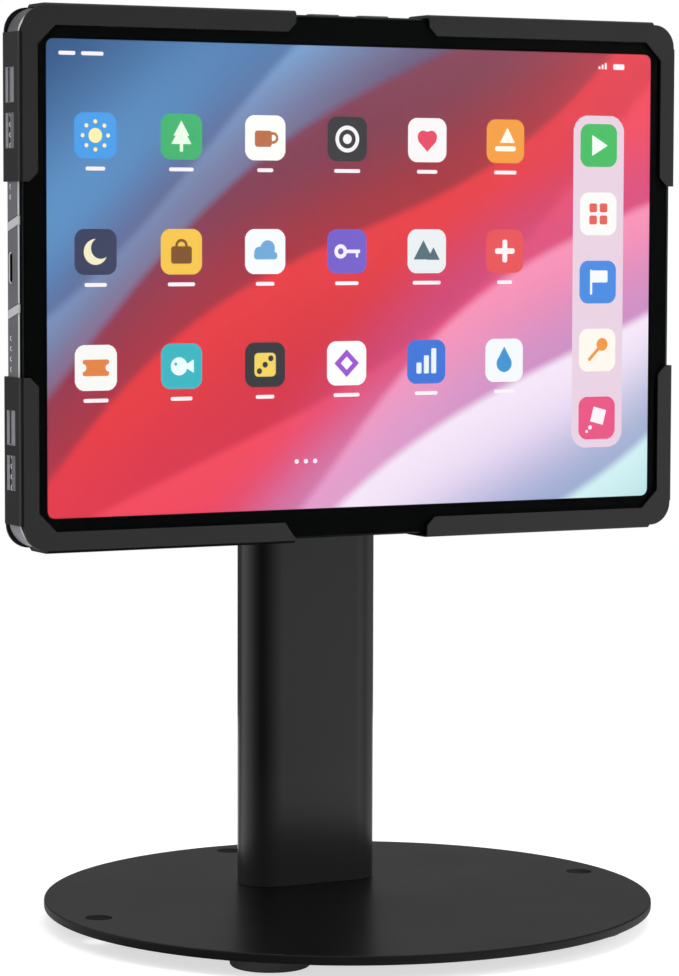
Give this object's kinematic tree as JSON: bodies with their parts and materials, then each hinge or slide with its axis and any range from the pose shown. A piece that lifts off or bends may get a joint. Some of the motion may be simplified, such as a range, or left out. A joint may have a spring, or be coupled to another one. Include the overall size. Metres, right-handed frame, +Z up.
{
  "type": "tablet security kiosk stand",
  "caption": "Desktop kiosk stand: round steel base and obround column carry a tilting, turning head whose folded corner brackets clamp a tablet behind a sliding arm.",
  "frame": {"origin": "on the table under the middle of the round base", "axes": "+Z up, the screen faces -Y, +X to the viewer's right"},
  "size_m": [0.2512, 0.21, 0.3113],
  "materials": {
    "powder_coat": "satin black powder coat, fine grain",
    "bracket_coat": "satin black powder coat",
    "black_screw": "black oxide, satin",
    "steel": "zinc plated, satin",
    "nylon": "natural nylon",
    "foot_rubber": "matt black rubber",
    "pad_foam": "black closed-cell foam",
    "tablet_metal": "fine bead-blasted, anodised",
    "seal_black": "black moulded frame",
    "cover_glass": "polished cover glass",
    "display": "lit display panel",
    "battery_wrap": "black film",
    "circuit_board": "green solder mask"
  },
  "bodies": {
    "stand": {"base_plate": "powder_coat", "rubber_feet": "foot_rubber", "column": "powder_coat", "column_screws": "black_screw", "head_fork": "powder_coat", "head_screws": "black_screw", "tilt_bolt": "steel", "tilt_nut": "steel", "friction_washers": "steel"},
    "tilt_head": {"tilt_arm": "powder_coat", "swivel_stud": "steel", "slip_washer": "nylon", "spring_washer": "steel"},
    "holder": {"hub_plate": "powder_coat", "stop_pin": "steel", "left_arm": "powder_coat", "arm_screws": "black_screw", "arm_nuts": "steel", "jaw_screws": "black_screw", "jaw_nuts": "steel", "bracket_top_left": "bracket_coat", "bracket_bottom_left": "bracket_coat", "left_rivets": "black_screw", "left_pads": "pad_foam", "tablet_shell": "tablet_metal", "tablet_seal": "seal_black", "tablet_glass": "cover_glass", "tablet_panel": "display", "tablet_battery": "battery_wrap", "tablet_board": "circuit_board", "tablet_port": "black_screw"},
    "jaw": {"right_arm": "powder_coat", "bracket_top_right": "bracket_coat", "bracket_bottom_right": "bracket_coat", "right_rivets": "black_screw", "right_pads": "pad_foam"},
    "power_key": {"power_button": "tablet_metal"},
    "volume_up_key": {"volume_up": "tablet_metal"},
    "volume_down_key": {"volume_down": "tablet_metal"}
  },
  "joints": [
    {"name": "tilt", "type": "hinge", "parent": "stand", "child": "tilt_head", "pos_m": [0, 0.0322, 0.2217], "axis": [-1, 0, 0], "range_deg": [-5, 45]},
    {"name": "turn", "type": "hinge", "parent": "tilt_head", "child": "holder", "pos_m": [0, 0.00895, 0.2217], "axis": [0, -1, 0], "range_deg": [0, 90]},
    {"name": "jaw_slide", "type": "slide", "parent": "holder", "child": "jaw", "axis": [1, 0, 0], "range_m": [0, 0.018]},
    {"name": "power_press", "type": "slide", "parent": "holder", "child": "power_key", "axis": [-1, 0, 0], "range_m": [0, 0.00035], "stiffness_N_per_m": 2000},
    {"name": "volume_up_press", "type": "slide", "parent": "holder", "child": "volume_up_key", "axis": [0, 0, -1], "range_m": [0, 0.00035], "stiffness_N_per_m": 2000},
    {"name": "volume_down_press", "type": "slide", "parent": "holder", "child": "volume_down_key", "axis": [0, 0, -1], "range_m": [0, 0.00035], "stiffness_N_per_m": 2000}
  ]
}
